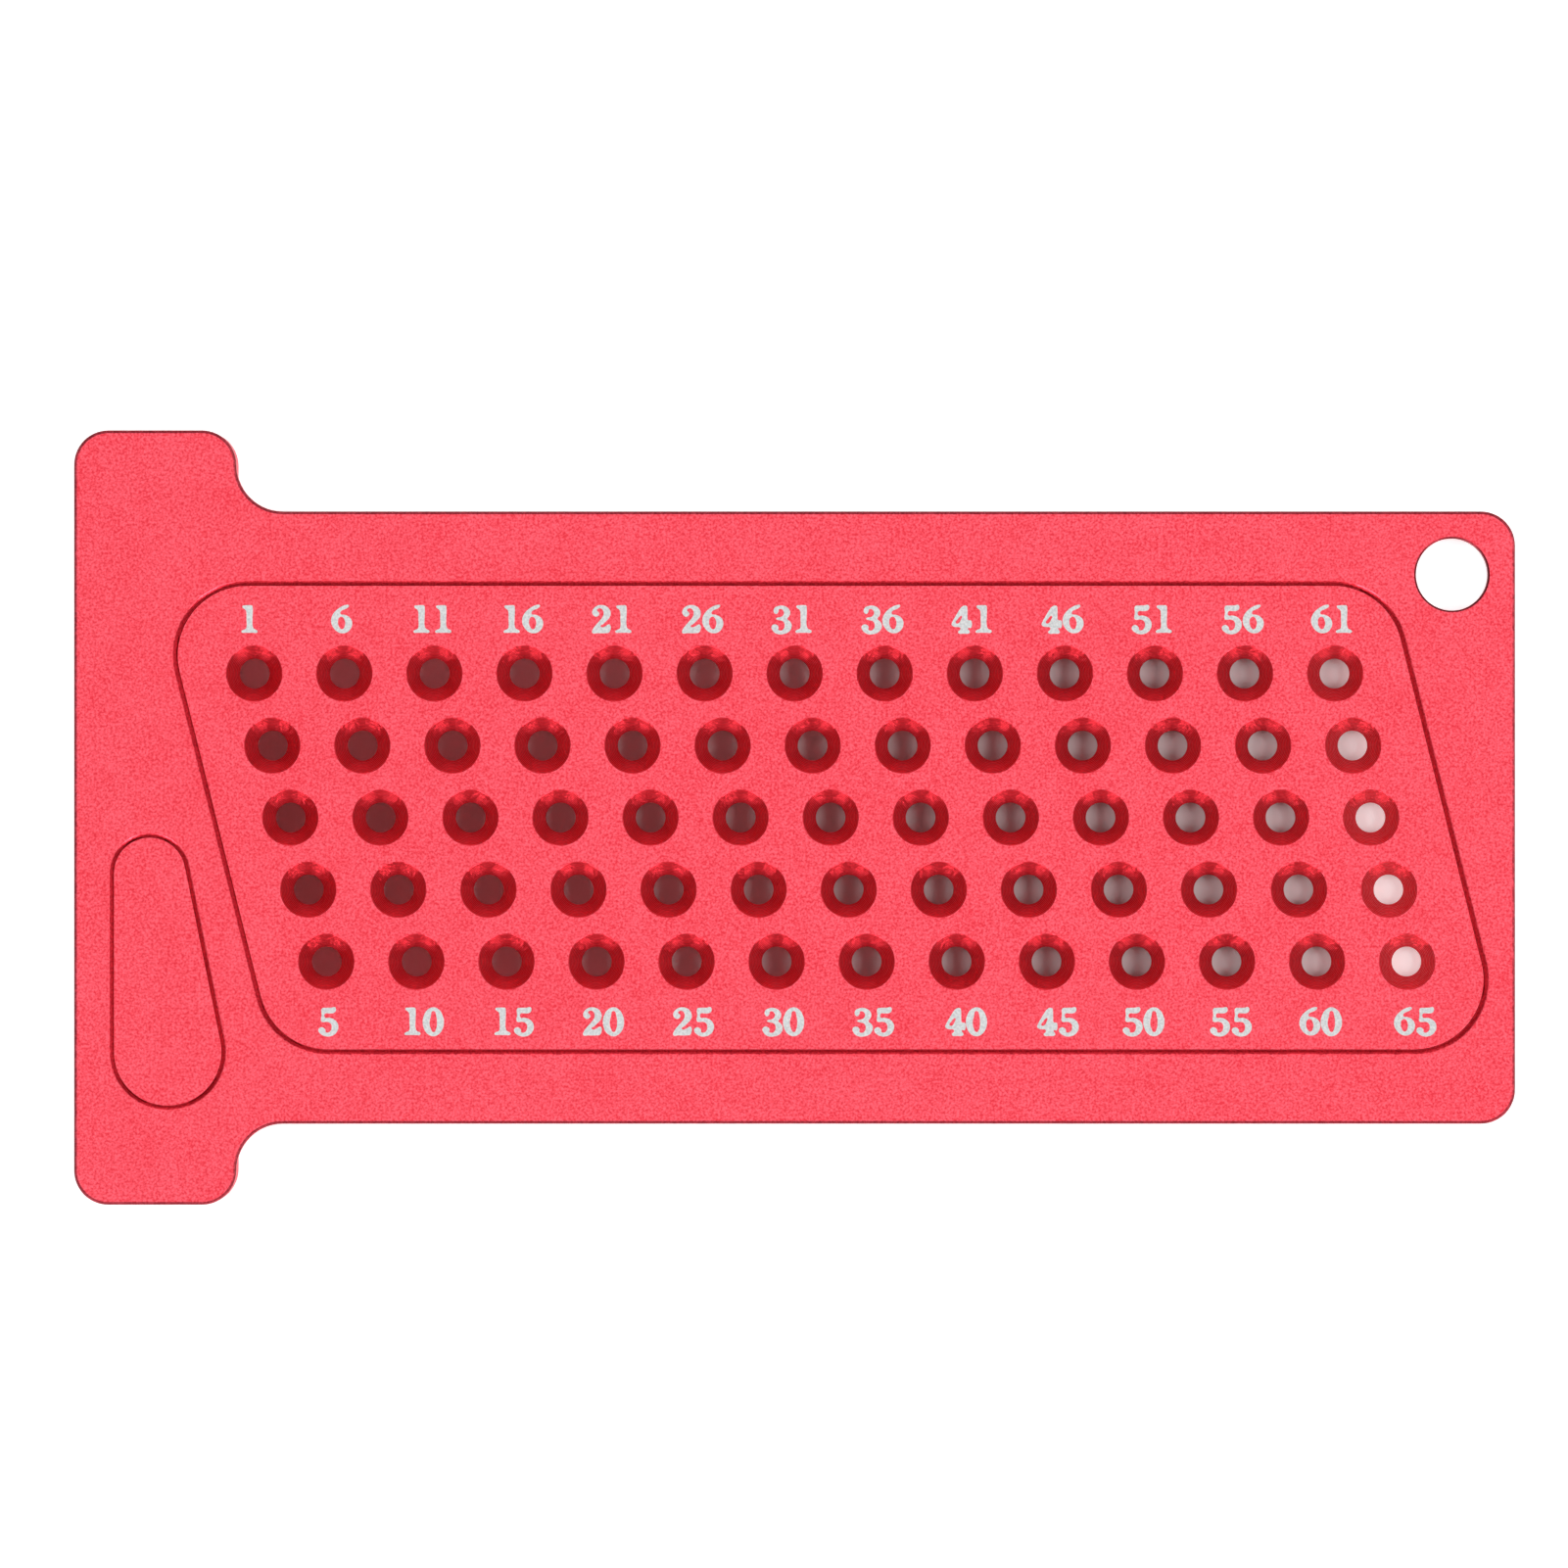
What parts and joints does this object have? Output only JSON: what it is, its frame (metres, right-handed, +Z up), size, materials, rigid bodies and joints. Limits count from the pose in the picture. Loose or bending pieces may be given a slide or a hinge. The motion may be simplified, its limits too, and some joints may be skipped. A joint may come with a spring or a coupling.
{
  "type": "hole marking gauge",
  "caption": "Flat T-shaped gauge with a fence lip under its head and a slanted field of tapered pencil holes, for marking hole positions from a board's edge.",
  "frame": {"origin": "where the fence's inner face, the centre line across the head and the blade's underside meet, so that hole n lies at x = n mm", "axes": "+X from the fence along the blade, +Y across it towards row 1 and the hanging hole, +Z up through the numbered face"},
  "size_m": [0.08, 0.043, 0.006],
  "materials": {
    "red_anodised": "satin",
    "white_marking": "matte"
  },
  "bodies": {
    "root": {"gauge_plate": "red_anodised"}
  },
  "joints": []
}
